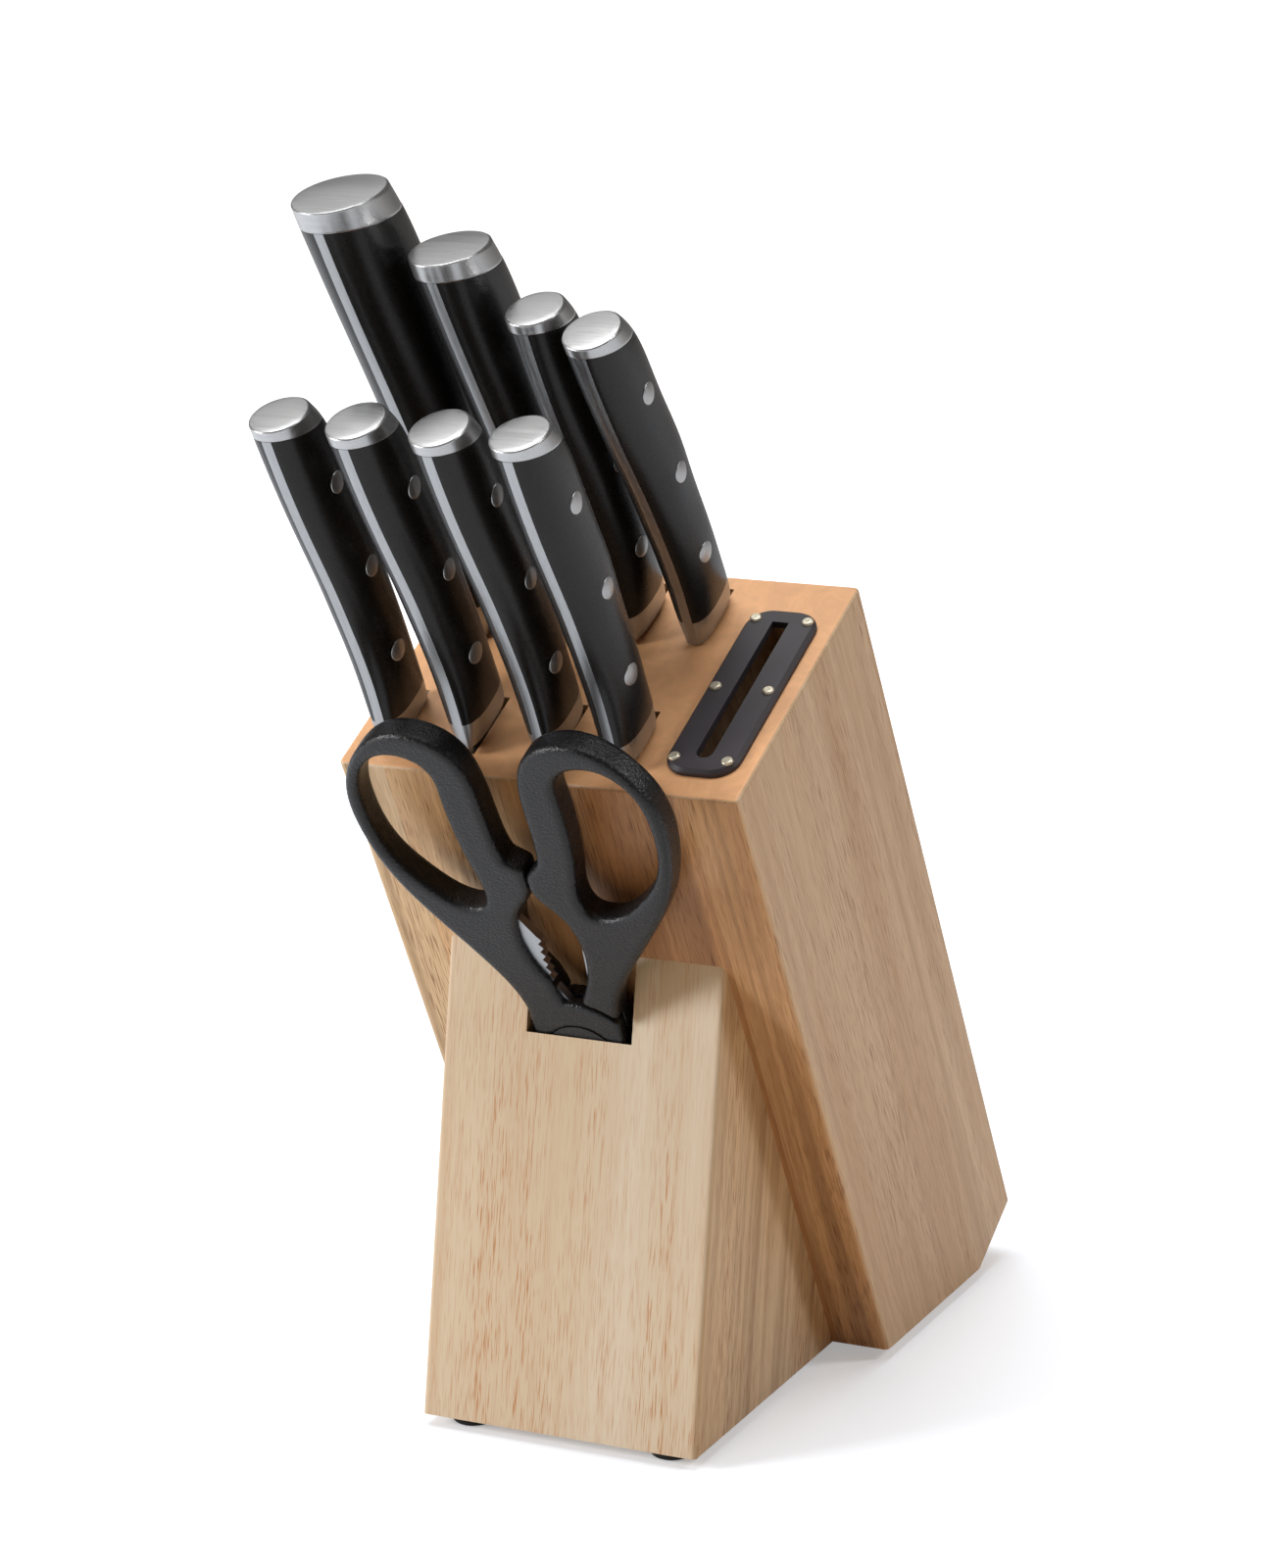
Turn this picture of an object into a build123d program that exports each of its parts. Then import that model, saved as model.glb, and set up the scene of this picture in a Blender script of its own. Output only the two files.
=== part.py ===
from build123d import *
from math import cos, pi, radians, sin
import os

# Knife block with eight knives, kitchen shears and a built-in sharpener.
# Millimetres. +Z is up, the front of the block faces -Y, and +X is to the right.
# The origin is on the table, at the middle of the whole object's footprint box.

# ---- Driving dimensions: the leaning block ----
BLOCK_W = 108.0          # across, X
BLOCK_T = 82.0           # front face to back face
LEAN = 26.4              # degrees the block's long axis leans forward
FRONT_LEN = 189.3        # front face, table edge to slot face
BACK_LEN = 217.3         # back face, slot face to lower back corner
FLAT_DEPTH = 66.9        # horizontal underside, front to back
LONG_EDGE_R = 1.4
RIM_R = 1.0
BACK_CORNER_R = 2.5
GLUE_LINES = (-41.4, -19.2, 2.0, 20.3, 40.0)
BOARD_NAMES = ("left_cheek", "left_slat", "middle_slat", "right_slat", "sharpener_slat", "right_cheek")

# ---- The wedge foot in front, with the shears pocket in its back ----
WEDGE_W = 76.5
WEDGE_REACH = 83.5       # how far it stands out at the table
WEDGE_RISE = 134.0       # how far up the block's front face it goes
WEDGE_EDGE_R = 1.3
POCKET_W = 29.3
POCKET_T = 13.4          # depth of the groove, from the block's front face
POCKET_FLOOR = 9.0       # end of the groove, along the block's axis

# ---- Rubber feet ----
FOOT_R = 5.7
FOOT_H = 3.2
FOOT_FLAT_R = 4.2
FOOT_SPOTS = ((-28.0, -75.0), (28.0, -75.0), (-43.0, 54.0), (43.0, 54.0))
SCREW_R = 1.5
SCREW_HEAD_R = 2.4
SCREW_LEN = 12.0

# ---- Sharpener ----
PLATE_X = 40.2
PLATE_N = 38.1           # centre of the plate, from the front edge of the slot face
PLATE_W = 19.0
PLATE_LEN = 61.5
PLATE_T = 1.9
PLATE_CORNER_R = 6.5
PLATE_SLOT_W = 4.4
PLATE_SLOT_LEN = 51.5
PIN_SPACING_X = 14.0
PIN_SPACING_N = 26.4
PIN_HEAD_R = 1.5
PIN_R = 0.8
PIN_LEN = 9.0
WELL_W = 10.0
WELL_LEN = 53.0
WELL_DEPTH = 34.0
STONE_TOP = 16.0         # depth of the stones' upper edge below the slot face
STONE_H = 14.0

# ---- Knives ----
TANG_T = 2.5
SLIM_BOLSTER_TOP = 7.5
FULL_BOLSTER_TOP = 10.0
RIVET_R = 2.8
RIVET_SPOTS = ((3.2, 24.6), (2.9, 50.9), (-0.1, 78.1))     # (across, up)
HIDDEN_PIN_R = 2.5
HIDDEN_PIN_SPOTS = ((9.0, 30.0), (8.0, 68.0), (4.5, 104.0))
HIDDEN_PIN_COVER = 2.5
SECTION_POINTS = 24
SQUARE_AT_SEAT = 2.9     # a section is an oval of this power at the seat,
SQUARE_UP_TO = 20.0      # and a plain ellipse from this height up
# Handle sections: height above the seat, front edge, spine edge, half thickness.
SLIM_HANDLE = (
    (0.7, -5.4, 15.4, 3.5),
    (4.0, -5.2, 15.3, 4.3),
    (8.0, -4.9, 15.0, 5.0),
    (15.0, -4.5, 14.6, 5.9),
    (30.0, -4.9, 14.2, 6.7),
    (48.0, -6.6, 13.5, 7.0),
    (65.0, -9.1, 12.3, 7.1),
    (82.0, -11.2, 10.4, 7.2),
    (93.0, -12.0, 7.9, 7.2),
    (100.0, -12.2, 4.0, 6.9),
    (107.0, -12.0, -1.0, 6.3),
)
FULL_HANDLE = (
    (0.7, -5.6, 22.8, 5.0),
    (5.0, -5.4, 23.0, 6.2),
    (10.0, -5.1, 23.3, 7.2),
    (18.0, -4.7, 23.7, 8.4),
    (40.0, -4.1, 24.0, 9.6),
    (65.0, -6.0, 22.9, 10.0),
    (90.0, -9.7, 20.5, 10.2),
    (115.0, -13.3, 16.8, 10.5),
    (130.0, -15.0, 12.0, 10.5),
    (145.0, -15.5, 6.5, 10.1),
)
# Where the end cap meets the scales, and the rim of its domed top:
# (front point across, up), slope in degrees.
SLIM_CAP_JOINT = ((-13.0, 98.3), -16.0)
SLIM_CAP_RIM = ((-11.4, 101.0), -6.0)
SLIM_CAP_DOME_R = 60.0
FULL_CAP_JOINT = ((-14.3, 129.3), -19.0)
FULL_CAP_RIM = ((-15.2, 135.6), -13.5)
FULL_CAP_DOME_R = 110.0
SLICER_SCALE = 0.867     # the slicer's handle against the cook's knife's

# ---- Shears ----
SHEARS_X = -0.5
SHEARS_N = -8.9          # middle plane, in front of the block's face
PIVOT_UP = 110.5         # pivot height along the block's face
SHEARS_TILT = 1.6        # degrees, the loops lean to the left
GRIP_T = 8.0
PLATE_STEEL_T = 2.2
PLATE_GAP = 0.3
LAP_R = 16.8
LAP_HALF_W = 12.4
LAP_CLEAR = 1.0
BOSS_R = 9.5
BOSS_T = 0.8
BOSS_PROUD = 0.2
BOLT_R = 3.0
BOLT_CLEAR = 0.05
NUT_R = 6.0
NUT_T = 1.4
NUT_CLEAR = 0.3
BLADE_DROP = 98.0        # pivot to tip
TOOTH_PITCH = 2.6
TOOTH_DEPTH = 1.1
TOOTH_COUNT = 7
TOOTH_START = (1.8, 21.0)
GRIP_EDGE_R = 1.4

# ---- Frames ----
LEAN_SIN = sin(radians(LEAN))
LEAN_COS = cos(radians(LEAN))
ALONG = Vector(0, -LEAN_SIN, LEAN_COS)       # up the block's long axis
ACROSS = Vector(0, LEAN_COS, LEAN_SIN)       # from its front face to its back face
RIGHT = Vector(1, 0, 0)
BLOCK_Y = 24.1           # front edge of the block's underside, behind the origin
BLOCK_PLANE = Plane(origin=(0, BLOCK_Y, FOOT_H), x_dir=RIGHT, z_dir=ALONG)
SLOT_FACE = BLOCK_PLANE.offset(FRONT_LEN)
BIG = 600.0


def at(x, across, along):
    """A point given in the block's own leaning frame."""
    return BLOCK_PLANE.from_local_coords(Vector(x, across, along))


def side_plane(x):
    """The plane of one blade: sketch X runs front to back, sketch Y up the block."""
    return Plane(origin=at(x, 0, 0), x_dir=ACROSS, z_dir=RIGHT)


def knife_seat(knife):
    """Frame of one knife at the slot face: X across it, Y to its spine, Z up its handle."""
    turn = radians(knife["lean"])
    up = ALONG * cos(turn) - ACROSS * sin(turn)
    origin = at(knife["x"], knife["seat"], FRONT_LEN + knife["lift"])
    return Plane(origin=origin, x_dir=RIGHT, z_dir=up)


def seat_side(seat):
    """Side view of a knife: sketch X towards the spine, sketch Y up the handle."""
    return Plane(origin=seat.origin, x_dir=seat.y_dir, z_dir=seat.x_dir)


def seat_cut(seat, place):
    """A plane across the handle through a side-view point, sloping towards the spine."""
    (across, up), slope = place
    turn = radians(slope)
    normal = seat.z_dir * cos(turn) - seat.y_dir * sin(turn)
    return Plane(origin=seat.from_local_coords(Vector(0, across, up)), x_dir=RIGHT, z_dir=normal)


def scaled_place(place, scale):
    (across, up), slope = place
    return (across * scale, up * scale), slope


def scaled_handle(sections, scale):
    return tuple(tuple(value * scale for value in section) for section in sections)


def slim(name, x, seat, lean, lift, blade):
    """A knife with the riveted slim handle."""
    return {
        "name": name, "x": x, "seat": seat, "lean": lean, "lift": lift, "blade": blade,
        "sections": SLIM_HANDLE, "joint": SLIM_CAP_JOINT, "rim": SLIM_CAP_RIM,
        "dome": SLIM_CAP_DOME_R, "spots": RIVET_SPOTS, "pin_r": RIVET_R, "riveted": True,
        "bolster": SLIM_BOLSTER_TOP,
    }


def full(name, x, seat, scale, blade):
    """A knife with the full-size handle, held by hidden pins."""
    return {
        "name": name, "x": x, "seat": seat, "lean": 0.0, "lift": 0.0, "blade": blade,
        "sections": scaled_handle(FULL_HANDLE, scale), "joint": scaled_place(FULL_CAP_JOINT, scale),
        "rim": scaled_place(FULL_CAP_RIM, scale), "dome": FULL_CAP_DOME_R * scale,
        "spots": tuple((across * scale, up * scale) for across, up in HIDDEN_PIN_SPOTS),
        "pin_r": HIDDEN_PIN_R, "riveted": False, "bolster": FULL_BOLSTER_TOP * scale,
    }


# Blades: length, width, thickness, spine position, tip drop, and the slot's front, back, depth and width.
STEAK_BLADE = dict(length=112.0, width=14.5, thick=1.8, spine=12.6, drop=3.5, slot=(7.6, 29.2, 120.0), slot_w=2.6)
PARING_BLADE = dict(length=80.0, width=13.5, thick=1.8, spine=12.4, drop=7.0, slot=(55.2, 77.0, 92.0), slot_w=3.2)
UTILITY_BLADE = dict(length=127.0, width=13.6, thick=1.9, spine=12.6, drop=4.0, slot=(55.2, 77.0, 136.0), slot_w=3.0)
SLICER_BLADE = dict(length=200.0, width=30.0, thick=2.2, spine=18.0, drop=9.0, slot=(45.2, 78.6, 206.0), slot_w=3.2)
COOKS_BLADE = dict(length=200.0, width=41.5, thick=2.4, spine=22.2, drop=12.0, slot=(33.4, 78.6, 206.0), slot_w=3.4)

KNIVES = (
    slim("steak_knife_1", -43.3, 11.9, 0.0, 0.4, STEAK_BLADE),
    slim("steak_knife_2", -20.8, 11.4, 1.5, 2.6, STEAK_BLADE),
    slim("steak_knife_3", 1.1, 10.7, 1.3, 2.4, STEAK_BLADE),
    slim("steak_knife_4", 20.4, 10.4, 0.0, 0.6, STEAK_BLADE),
    full("cooks_knife", -39.5, 54.0, 1.0, COOKS_BLADE),
    full("slicing_knife", -17.5, 58.5, SLICER_SCALE, SLICER_BLADE),
    slim("utility_knife", 3.0, 57.6, 0.0, 0.7, UTILITY_BLADE),
    slim("paring_knife", 20.2, 59.6, 4.5, 0.2, PARING_BLADE),
)

parts = []


def keep(builder, name):
    builder.part.label = name
    parts.append(builder.part)


# ---- Wooden block ----
def slot_outline(front, back, depth):
    """A blade slot's side view: straight at the spine, cut short below the edge."""
    top = FRONT_LEN + 1.0
    bottom = FRONT_LEN - depth
    width = back - front
    Polyline(
        (front, top), (back, top), (back, bottom), (back - 0.6 * width, bottom),
        (front, FRONT_LEN - 0.8 * depth), close=True,
    )


with BuildPart() as block_blank:
    with BuildSketch(side_plane(0)):
        with BuildLine():
            back_foot = FRONT_LEN - BACK_LEN
            Polyline(
                (0, 0), (0, FRONT_LEN), (BLOCK_T, FRONT_LEN), (BLOCK_T, back_foot),
                (FLAT_DEPTH * LEAN_COS, -FLAT_DEPTH * LEAN_SIN), close=True,
            )
        make_face()
    extrude(amount=BLOCK_W / 2, both=True)
    # Only the four long corners run along the block's axis.
    fillet(block_blank.edges().filter_by(Axis((0, 0, 0), ALONG)), LONG_EDGE_R)
    slot_side = block_blank.faces().sort_by(Axis((0, 0, 0), ALONG))[-1]
    fillet(slot_side.edges(), RIM_R)
    rear_corner = block_blank.edges().filter_by(Axis.X).sort_by(Axis.Y)[-1]
    fillet(rear_corner, BACK_CORNER_R)
    for knife in KNIVES:
        with BuildSketch(side_plane(knife["x"])):
            with BuildLine():
                slot_outline(*knife["blade"]["slot"])
            make_face()
        extrude(amount=knife["blade"]["slot_w"] / 2, both=True, mode=Mode.SUBTRACT)
    with BuildSketch(SLOT_FACE):
        with Locations((PLATE_X, PLATE_N)):
            Rectangle(WELL_W, WELL_LEN)
    extrude(amount=-WELL_DEPTH, mode=Mode.SUBTRACT)
    with BuildSketch(SLOT_FACE):
        with Locations((PLATE_X, PLATE_N)):
            with GridLocations(PIN_SPACING_X, PIN_SPACING_N, 2, 3):
                Circle(PIN_R)
    extrude(amount=-(PIN_LEN - PLATE_T), mode=Mode.SUBTRACT)
    with BuildSketch(Plane.XY.offset(FOOT_H)):
        with Locations(*[(x, y + BLOCK_Y) for x, y in FOOT_SPOTS]):
            Circle(SCREW_R)
    extrude(amount=SCREW_LEN, mode=Mode.SUBTRACT)

board_edges = (-BLOCK_W / 2,) + GLUE_LINES + (BLOCK_W / 2,)
for name, low, high in zip(BOARD_NAMES, board_edges, board_edges[1:]):
    with BuildPart() as board:
        add(block_blank.part)
        with BuildSketch(side_plane((low + high) / 2)):
            Rectangle(BIG, BIG)
        extrude(amount=(high - low) / 2, both=True, mode=Mode.INTERSECT)
    keep(board, name)

# ---- Wedge foot ----
with BuildPart() as wedge:
    with BuildSketch(side_plane(0)):
        with BuildLine():
            Polyline(
                (0, 0), (0, WEDGE_RISE),
                (-WEDGE_REACH * LEAN_COS, WEDGE_REACH * LEAN_SIN), close=True,
            )
        make_face()
    extrude(amount=WEDGE_W / 2, both=True)
    front_face = wedge.faces().sort_by(Axis.Y)[0]
    fillet(front_face.edges().filter_by(Axis.X, reverse=True), WEDGE_EDGE_R)
    # The shears pocket is a groove down the wedge's back, open at its thin top.
    with BuildSketch(Plane(origin=at(SHEARS_X, 0, 0), x_dir=RIGHT, z_dir=-ACROSS)):
        with Locations((0, (BIG + POCKET_FLOOR) / 2)):
            Rectangle(POCKET_W, BIG - POCKET_FLOOR)
    extrude(amount=POCKET_T, mode=Mode.SUBTRACT)
    with BuildSketch(Plane.XY.offset(FOOT_H)):
        with Locations(*[(x, y + BLOCK_Y) for x, y in FOOT_SPOTS]):
            Circle(SCREW_R)
    extrude(amount=SCREW_LEN, mode=Mode.SUBTRACT)
keep(wedge, "wedge_foot")

# ---- Rubber feet and their screws ----
HEAD_RECESS = 1.4
with BuildPart() as feet:
    with BuildSketch(Plane.XY.offset(FOOT_H)):
        with Locations(*[(x, y + BLOCK_Y) for x, y in FOOT_SPOTS]):
            Circle(FOOT_R)
    extrude(amount=-FOOT_H)
    rims = feet.edges().filter_by(GeomType.CIRCLE).group_by(Axis.Z)[0]
    fillet(rims, FOOT_R - FOOT_FLAT_R)
    with BuildSketch(Plane.XY):
        with Locations(*[(x, y + BLOCK_Y) for x, y in FOOT_SPOTS]):
            Circle(SCREW_HEAD_R)
    extrude(amount=HEAD_RECESS, mode=Mode.SUBTRACT)
    with BuildSketch(Plane.XY):
        with Locations(*[(x, y + BLOCK_Y) for x, y in FOOT_SPOTS]):
            Circle(SCREW_R)
    extrude(amount=FOOT_H, mode=Mode.SUBTRACT)
keep(feet, "rubber_feet")

HEAD_T = 0.8
with BuildPart() as foot_screws:
    with BuildSketch(Plane.XY.offset(HEAD_RECESS - HEAD_T)):
        with Locations(*[(x, y + BLOCK_Y) for x, y in FOOT_SPOTS]):
            Circle(SCREW_HEAD_R)
    extrude(amount=HEAD_T)
    with BuildSketch(Plane.XY.offset(HEAD_RECESS)):
        with Locations(*[(x, y + BLOCK_Y) for x, y in FOOT_SPOTS]):
            Circle(SCREW_R)
    extrude(amount=SCREW_LEN - HEAD_RECESS)
keep(foot_screws, "foot_screws")

# ---- Sharpener ----
PLATE_BEVEL = 0.9
with BuildPart() as plate:
    with BuildSketch(SLOT_FACE):
        with Locations((PLATE_X, PLATE_N)):
            RectangleRounded(PLATE_W, PLATE_LEN, PLATE_CORNER_R)
    extrude(amount=PLATE_T)
    top = plate.faces().sort_by(Axis((0, 0, 0), ALONG))[-1]
    chamfer(top.edges(), PLATE_BEVEL)
    with BuildSketch(SLOT_FACE):
        with Locations((PLATE_X, PLATE_N)):
            SlotOverall(PLATE_SLOT_LEN, PLATE_SLOT_W, rotation=90)
        with Locations((PLATE_X, PLATE_N + PLATE_SLOT_LEN / 4)):
            Rectangle(PLATE_SLOT_W, PLATE_SLOT_LEN / 2)
    extrude(amount=PLATE_T, mode=Mode.SUBTRACT)
    with BuildSketch(SLOT_FACE):
        with Locations((PLATE_X, PLATE_N)):
            with GridLocations(PIN_SPACING_X, PIN_SPACING_N, 2, 3):
                Circle(PIN_R)
    extrude(amount=PLATE_T, mode=Mode.SUBTRACT)
keep(plate, "sharpener_plate")

PIN_HEAD_T = 0.7
with BuildPart() as plate_pins:
    with BuildSketch(SLOT_FACE.offset(PLATE_T)):
        with Locations((PLATE_X, PLATE_N)):
            with GridLocations(PIN_SPACING_X, PIN_SPACING_N, 2, 3):
                Circle(PIN_HEAD_R)
    extrude(amount=PIN_HEAD_T)
    fillet(plate_pins.edges().group_by(Axis((0, 0, 0), ALONG))[-1], PIN_HEAD_T * 0.8)
    with BuildSketch(SLOT_FACE.offset(PLATE_T)):
        with Locations((PLATE_X, PLATE_N)):
            with GridLocations(PIN_SPACING_X, PIN_SPACING_N, 2, 3):
                Circle(PIN_R)
    extrude(amount=-PIN_LEN)
keep(plate_pins, "sharpener_pins")

STONE_GAP = 0.5
with BuildPart() as stones:
    stone_plane = Plane(origin=at(PLATE_X, PLATE_N, FRONT_LEN), x_dir=RIGHT, z_dir=-ACROSS)
    with BuildSketch(stone_plane):
        with BuildLine():
            Polyline(
                (WELL_W / 2, -STONE_TOP), (WELL_W / 2, -STONE_TOP - STONE_H),
                (STONE_GAP, -STONE_TOP - STONE_H), close=True,
            )
        make_face()
        mirror(about=Plane.YZ)
    extrude(amount=WELL_LEN / 2, both=True)
keep(stones, "sharpening_stones")


# ---- Knives ----
def rounded_section(half, depth, power):
    """Points round an oval that is fuller than an ellipse at a power above 2."""
    points = []
    for index in range(SECTION_POINTS):
        turn = 2 * pi * index / SECTION_POINTS
        x = half * abs(cos(turn)) ** (2 / power)
        y = depth * abs(sin(turn)) ** (2 / power)
        points.append((x if cos(turn) > 0 else -x, y if sin(turn) > 0 else -y))
    return points


def handle_blank(seat, sections):
    """The whole handle as one smooth body, before it is divided into its pieces."""
    with BuildPart() as blank:
        for up, front, back, half in sections:
            power = 2 + (SQUARE_AT_SEAT - 2) * max(0, 1 - up / SQUARE_UP_TO)
            middle = (front + back) / 2
            outline = [(x, y + middle) for x, y in rounded_section(half, (back - front) / 2, power)]
            with BuildSketch(seat.offset(up)):
                with BuildLine():
                    Spline(*outline, periodic=True)
                make_face()
        loft()
    return blank.part


def blade_outline(blade):
    """Side view of a blade below its bolster: straight spine, curved edge, pointed tip."""
    length = blade["length"]
    spine = blade["spine"]
    edge = spine - blade["width"]
    tip = (spine - blade["drop"], -length)
    spine_turn = (spine, -0.55 * length)
    edge_turn = (edge, -0.50 * length)
    Polyline((edge, -0.8), (edge + 1.0, 0.5), (edge + 1.0, 3.0), (spine, 3.0), spine_turn)
    Spline(spine_turn, tip, tangents=[(0, -1), (-1, -2.5)])
    Spline(tip, edge_turn, tangents=[(-1, 0.9), (0, 1)])
    Line(edge_turn, (edge, -0.8))


def blade_section(blade):
    """Cross-section of a blade: flat at the spine, ground to a fine edge."""
    half = blade["thick"] / 2
    spine = blade["spine"]
    edge = spine - blade["width"]
    grind = spine - 0.3 * blade["width"]
    fine = 0.12
    Polyline(
        (-half, spine), (half, spine), (half, grind), (fine, edge), (-fine, edge), (-half, grind),
        close=True,
    )


def make_steel(knife, seat, blank):
    """Blade, bolster and full tang, forged in one piece."""
    blade = knife["blade"]
    with BuildPart() as tang:
        add(blank)
        split(bisect_by=seat_cut(seat, knife["joint"]), keep=Keep.BOTTOM)
        with BuildSketch(seat_side(seat)):
            Rectangle(BIG, BIG)
        extrude(amount=TANG_T / 2, both=True, mode=Mode.INTERSECT)
    with BuildPart() as bolster:
        add(blank)
        split(bisect_by=seat.offset(knife["bolster"]), keep=Keep.BOTTOM)
    with BuildPart() as steel:
        with BuildSketch(seat_side(seat)):
            with BuildLine():
                blade_outline(blade)
            make_face()
        extrude(amount=blade["thick"], both=True)
        with BuildSketch(seat.offset(5.0)):
            with BuildLine():
                blade_section(blade)
            make_face()
        extrude(amount=-blade["length"] - 10.0, mode=Mode.INTERSECT)
        add(tang.part)
        add(bolster.part)
        with BuildSketch(seat_side(seat)):
            with Locations(*knife["spots"]):
                Circle(knife["pin_r"])
        extrude(amount=TANG_T, both=True, mode=Mode.SUBTRACT)
    return steel


def make_cap(knife, seat, blank):
    """The end cap, with a domed top."""
    rim = seat_cut(seat, knife["rim"])
    half_width = knife["sections"][-2][3]
    middle = rim.origin + rim.y_dir * (half_width * 1.05)
    depth = (knife["dome"] ** 2 - half_width ** 2) ** 0.5
    with BuildPart() as cap:
        add(blank)
        split(bisect_by=seat_cut(seat, knife["joint"]), keep=Keep.TOP)
        with Locations(Location(middle - rim.z_dir * depth)):
            Sphere(knife["dome"], mode=Mode.INTERSECT)
    return cap


def pin_holes(knife, seat, reach):
    with BuildPart() as holes:
        with BuildSketch(seat_side(seat)):
            with Locations(*knife["spots"]):
                Circle(knife["pin_r"])
        extrude(amount=reach, both=True)
    return holes.part


def make_scale(knife, seat, blank, pins, side):
    """One handle scale, lying against the tang."""
    with BuildPart() as scale:
        add(blank)
        split(bisect_by=seat.offset(knife["bolster"]), keep=Keep.TOP)
        split(bisect_by=seat_cut(seat, knife["joint"]), keep=Keep.BOTTOM)
        tang_face = Plane(origin=seat.origin + RIGHT * (side * TANG_T / 2), z_dir=RIGHT * side)
        split(bisect_by=tang_face, keep=Keep.TOP)
        add(pins, mode=Mode.SUBTRACT)
    return scale


def make_pins(knife, blank, pins):
    """Rivets end flush with the handle; hidden pins stop inside the scales."""
    with BuildPart() as fixings:
        add(pins)
        if knife["riveted"]:
            add(blank, mode=Mode.INTERSECT)
    return fixings


for knife in KNIVES:
    seat = knife_seat(knife)
    blank = handle_blank(seat, knife["sections"])
    thickest = max(section[3] for section in knife["sections"])
    pin_reach = thickest + 2.0 if knife["riveted"] else thickest - HIDDEN_PIN_COVER
    pins = pin_holes(knife, seat, pin_reach)
    keep(make_steel(knife, seat, blank), knife["name"] + "_blade")
    keep(make_cap(knife, seat, blank), knife["name"] + "_end_cap")
    keep(make_scale(knife, seat, blank, pins, -1), knife["name"] + "_scale_left")
    keep(make_scale(knife, seat, blank, pins, 1), knife["name"] + "_scale_right")
    keep(make_pins(knife, blank, pins), knife["name"] + ("_rivets" if knife["riveted"] else "_pins"))


# ---- Shears ----
def shears_plane(across):
    """Front view of the shears at one depth: sketch Y is their own centre line."""
    turn = radians(SHEARS_TILT)
    return Plane(
        origin=at(SHEARS_X, across, PIVOT_UP),
        x_dir=RIGHT * cos(turn) + ALONG * sin(turn), z_dir=-ACROSS,
    )


def flipped(points, side):
    return [(side * a, b) for a, b in points]


# Grip outline, for the half whose loop is on the +X side, from the stop knob round the loop.
LOOP_OUTER = (
    (4.6, 63.0), (5.8, 75.0), (6.3, 86.0), (9.5, 95.5), (18.0, 101.0), (27.0, 100.8), (36.5, 94.0),
    (42.2, 83.0), (42.3, 70.0), (38.0, 55.5), (28.5, 40.5), (20.0, 29.0), (14.6, 20.0), (12.4, 9.0),
)
LOOP_HOLE = (
    (16.2, 84.0), (16.0, 74.0), (14.2, 60.0), (13.0, 52.0), (14.6, 47.6), (19.5, 46.8), (29.0, 52.6),
    (36.6, 62.5), (39.2, 76.0), (37.0, 87.5), (31.0, 93.6), (22.0, 94.0), (17.4, 90.5),
)
# Inner edge of each neck, from the stop knob down to the lap joint.
NECK_FRONT_HALF = ((0.15, 57.0), (0.5, 53.0), (5.5, 46.0), (7.4, 38.5), (6.4, 31.0), (3.0, 24.0))
NECK_BACK_HALF = ((0.15, 55.0), (1.2, 52.0), (5.8, 46.5), (8.8, 39.0), (8.8, 31.0), (6.0, 22.0))
MID_FRONT = SHEARS_N - PLATE_GAP / 2
MID_BACK = SHEARS_N + PLATE_GAP / 2


def neck_and_loop(side, inner_edge):
    """Front view of one grip, without its finger hole."""
    knob = inner_edge[0]
    neck_foot = LOOP_OUTER[-1]
    Spline(*flipped(LOOP_OUTER, side))
    Polyline(*flipped([neck_foot, (4.0, 3.0), (0.0, 10.0), inner_edge[-1]], side))
    Spline(*flipped(inner_edge[::-1], side))
    Polyline(*flipped([knob, (0.15, knob[1] + 3.5), LOOP_OUTER[0]], side))


def steel_outline(side, inner_edge):
    """Front view of one shears blade: its tang goes up one side, its blade down the other."""
    Polyline(
        *flipped(
            [
                *inner_edge, (12.0, 52.0), (14.0, 40.0), (12.0, 24.0), (9.4, 2.0), (8.0, -6.0),
                (1.3, -12.0), (1.3, 3.0 - BLADE_DROP), (0.2, -BLADE_DROP), (-3.4, 9.0 - BLADE_DROP),
                (-7.4, -50.0), (-9.2, -14.0), (-9.4, 2.0), (-4.0, 9.0),
            ], side,
        ), close=True,
    )


def toothed_edge():
    """Saw-toothed inner edge of the front half's tang, for gripping caps and nuts."""
    across, up = TOOTH_START
    points = []
    for tooth in range(TOOTH_COUNT):
        bow = 1.0 - abs(tooth - (TOOTH_COUNT - 1) / 2) / TOOTH_COUNT
        points.append((across + bow, up + tooth * TOOTH_PITCH))
        points.append((across + bow + TOOTH_DEPTH, up + (tooth + 0.5) * TOOTH_PITCH))
    return points


def grip_blank(side, inner_edge):
    with BuildPart() as blank:
        with BuildSketch(shears_plane(SHEARS_N)):
            with BuildLine():
                neck_and_loop(side, inner_edge)
            make_face()
        extrude(amount=GRIP_T / 2, both=True)
        with BuildSketch(shears_plane(SHEARS_N)):
            with BuildLine():
                Spline(*flipped(LOOP_HOLE, side), periodic=True)
            make_face()
        extrude(amount=GRIP_T / 2, both=True, mode=Mode.SUBTRACT)
        rims = [blank.faces().sort_by(Axis((0, 0, 0), ACROSS))[end] for end in (0, -1)]
        fillet([edge for rim in rims for edge in rim.edges()], GRIP_EDGE_R)
    return blank.part


def lap_cover(inner_side, outer_side):
    """The flat cheek of a grip that covers the pivot, between two depths."""
    with BuildPart() as cover:
        with BuildSketch(shears_plane(inner_side)):
            Circle(LAP_R)
            Rectangle(2 * LAP_HALF_W, 4 * LAP_R, mode=Mode.INTERSECT)
        extrude(amount=inner_side - outer_side)
    return cover.part


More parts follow.
